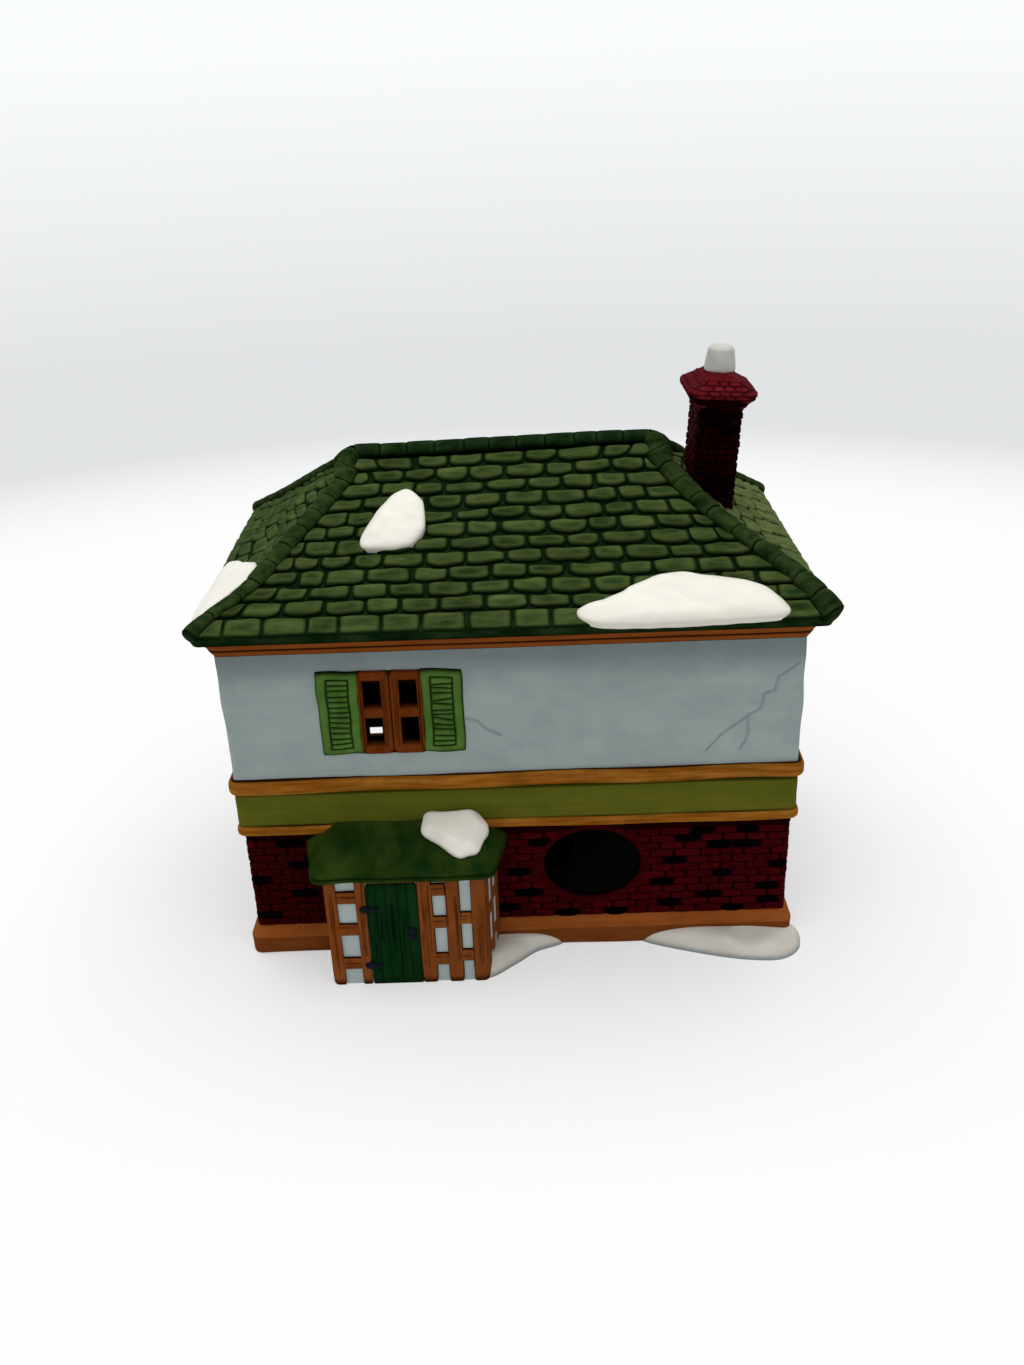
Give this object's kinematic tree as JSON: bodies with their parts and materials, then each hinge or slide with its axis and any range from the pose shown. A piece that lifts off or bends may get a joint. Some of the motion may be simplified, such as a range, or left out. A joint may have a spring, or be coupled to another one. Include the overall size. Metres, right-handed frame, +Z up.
{
  "type": "ceramic village house",
  "caption": "Hollow porcelain winter village house with a tiled hip roof, brick and rendered storeys, a timber porch and snow, lit by a lamp put in through its wall.",
  "frame": {"origin": "on the table, under the middle of the bounding box", "axes": "+Z up, +X along the ridge to the chimney's end, -Y out of the wall with the lamp hole and the porch"},
  "size_m": [0.1868, 0.132, 0.1805],
  "materials": {
    "belt": "matte paint",
    "bisque": "unpainted matte bisque",
    "brick": "matte paint with dark wash",
    "casement": "matte paint",
    "cornice": "matte paint",
    "door": "matte paint with dark wash",
    "frieze": "matte paint",
    "infill": "matte paint",
    "ironwork": "matte paint",
    "plinth": "matte paint",
    "porch_roof": "matte paint",
    "render": "matte paint",
    "roof_caps": "matte paint with dark wash",
    "roof_tiles": "matte paint with dark wash",
    "shutter": "matte paint with dark wash",
    "snow": "satin glaze",
    "timber": "matte paint with dark wash"
  },
  "bodies": {
    "root": {"base_floor": "bisque", "brick_storey": "brick", "chimney_head": "brick", "chimney_pot": "snow", "chimney_stack": "brick", "corner_drift": "snow", "cornice": "cornice", "door_hinges": "ironwork", "door_latch": "ironwork", "frieze_band": "frieze", "front_upper_left_leaf": "casement", "front_upper_left_shutter": "shutter", "front_upper_right_leaf": "casement", "front_upper_right_shutter": "shutter", "hip_cap_front_left": "roof_caps", "hip_cap_front_right": "roof_caps", "hip_cap_rear_left": "roof_caps", "hip_cap_rear_right": "roof_caps", "left_upper_left_leaf": "casement", "left_upper_left_shutter": "shutter", "left_upper_right_leaf": "casement", "left_upper_right_shutter": "shutter", "lower_belt": "belt", "plinth": "plinth", "porch_door": "door", "porch_drift": "snow", "porch_roof": "porch_roof", "porch_snow": "snow", "porch_timbers": "timber", "porch_walls": "infill", "rear_lower_left_leaf": "casement", "rear_lower_right_leaf": "casement", "rear_upper_left_leaf": "casement", "rear_upper_left_shutter": "shutter", "rear_upper_right_leaf": "casement", "rear_upper_right_shutter": "shutter", "rendered_storey": "render", "ridge_cap": "roof_caps", "right_upper_left_leaf": "casement", "right_upper_left_shutter": "shutter", "right_upper_right_leaf": "casement", "right_upper_right_shutter": "shutter", "roof_shell": "roof_caps", "roof_snow_eave": "snow", "roof_snow_rear": "snow", "roof_snow_side": "snow", "roof_snow_upper": "snow", "tiles_front": "roof_tiles", "tiles_left": "roof_tiles", "tiles_rear": "roof_tiles", "tiles_right": "roof_tiles", "upper_belt": "belt"}
  },
  "joints": []
}
